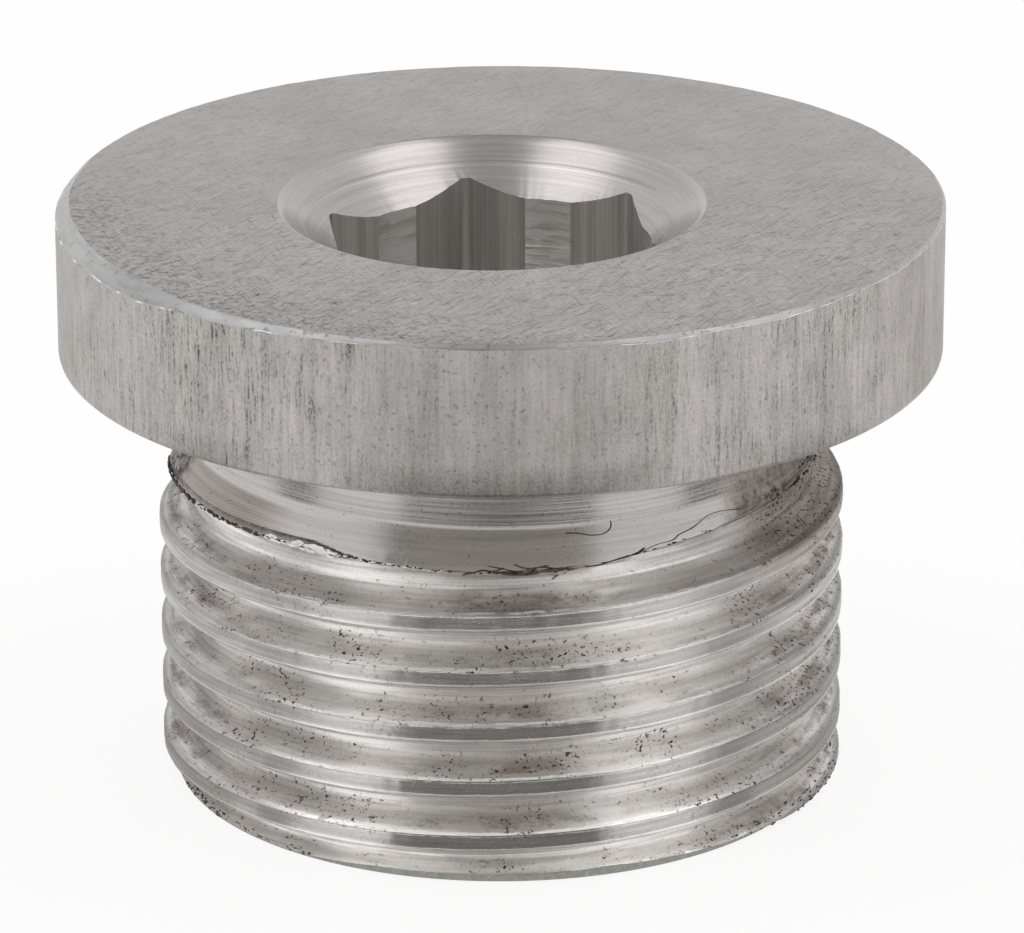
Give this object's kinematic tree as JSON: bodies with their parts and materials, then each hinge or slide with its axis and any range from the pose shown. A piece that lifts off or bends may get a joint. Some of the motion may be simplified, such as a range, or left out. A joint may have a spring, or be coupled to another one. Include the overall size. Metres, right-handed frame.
{
  "type": "hex socket screw plug",
  "caption": "Threaded metal plug with a round collar and a countersunk hexagon socket, screwed in to seal a port.",
  "frame": {"origin": "centre of the stud's flat end face, the face that goes into the port first", "axes": "+Z along the thread axis from the stud's end face to the collar's face with the socket; +X points at a corner of the hexagon; it stands on the end face"},
  "size_m": [0.023, 0.023, 0.0155],
  "materials": {
    "bare_steel": "bare turned steel, dull and lightly scuffed, with dark specks in the thread"
  },
  "bodies": {
    "root": {"socket_plug": "bare_steel"}
  },
  "joints": []
}
